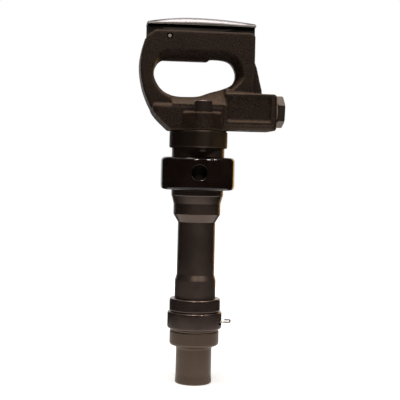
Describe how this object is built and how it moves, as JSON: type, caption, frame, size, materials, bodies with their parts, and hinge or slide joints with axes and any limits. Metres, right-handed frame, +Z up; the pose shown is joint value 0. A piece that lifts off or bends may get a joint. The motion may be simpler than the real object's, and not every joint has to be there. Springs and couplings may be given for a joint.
{
  "type": "pneumatic hammer",
  "caption": "Hand-held pneumatic hammer with a D handle, top throttle lever, rubber exhaust deflector, steel cylinder and a sleeve retainer for the chisel.",
  "frame": {"origin": "middle of the ground that the standing hammer covers, under its nose", "axes": "+Z up along the barrel from the nose to the lever, +X from the barrel towards the air inlet, -Y the front of the D handle"},
  "size_m": [0.199, 0.12, 0.498],
  "materials": {
    "black_casting": "sandy cast surface under black paint",
    "lever_steel": "blacked, satin, worn bright on the crown",
    "blacked_steel": "machined and blacked, oiled",
    "browned_steel": "machined, heat treated brown, satin",
    "bright_steel": "drawn and bright",
    "hard_steel": "ground and hardened",
    "deflector_rubber": "moulded, glossy with oil",
    "seal_rubber": "moulded, matt",
    "brass": "turned",
    "gasket_fibre": "pressed fibre"
  },
  "bodies": {
    "tool": {"handle_casting": "black_casting", "lever_pivot_pin": "bright_steel", "push_pin_seal": "seal_rubber", "throttle_valve_seat": "brass", "throttle_spring": "bright_steel", "throttle_plug": "blacked_steel", "throttle_plug_gasket": "gasket_fibre", "inlet_bushing": "blacked_steel", "inlet_gasket": "gasket_fibre", "inlet_screen": "brass", "handle_bolt_front": "blacked_steel", "handle_bolt_rear": "blacked_steel", "lock_washer_front": "hard_steel", "lock_washer_rear": "hard_steel", "lock_ring": "blacked_steel", "cylinder": "blacked_steel", "valve_case_gasket": "gasket_fibre", "valve_case_upper": "hard_steel", "valve_case_lower": "hard_steel", "valve_dowel": "hard_steel", "chisel_bushing": "hard_steel", "retainer_lock_ring": "blacked_steel"},
    "lever": {"throttle_lever": "lever_steel"},
    "throttle": {"throttle_push_pin": "hard_steel", "throttle_valve": "hard_steel"},
    "piston": {"piston": "hard_steel"},
    "distribution_valve": {"distribution_valve": "hard_steel"},
    "deflector": {"exhaust_deflector": "deflector_rubber"},
    "retainer": {"retainer_sleeve": "browned_steel", "retainer_collar": "blacked_steel", "retainer_buffer": "seal_rubber", "lock_wire": "bright_steel"}
  },
  "joints": [
    {"name": "lever_press", "type": "hinge", "parent": "tool", "child": "lever", "pos_m": [-0.0607, 0, 0.4704], "axis": [0, 1, 0], "range_deg": [0, 2.25], "stiffness_Nm_per_rad": 22.6, "springref_deg": -5.16},
    {"name": "throttle_travel", "type": "slide", "parent": "tool", "child": "throttle", "axis": [0, 0, -1], "range_m": [0, 0.0042], "deforming": ["throttle_spring"]},
    {"name": "piston_stroke", "type": "slide", "parent": "tool", "child": "piston", "axis": [0, 0, 1], "range_m": [0, 0.113]},
    {"name": "valve_shift", "type": "slide", "parent": "tool", "child": "distribution_valve", "axis": [0, 0, 1], "range_m": [0, 0.004]},
    {"name": "deflector_turn", "type": "hinge", "parent": "tool", "child": "deflector", "pos_m": [-0.0165, 0, 0.2857], "axis": [0, 0, 1], "continuous": true},
    {"name": "retainer_turn", "type": "hinge", "parent": "tool", "child": "retainer", "pos_m": [-0.0165, 0, 0.062], "axis": [0, 0, 1], "continuous": true}
  ],
  "couplings": [
    {"joint": "throttle_travel", "follows": "lever_press", "m_per_rad": 0.1062}
  ]
}
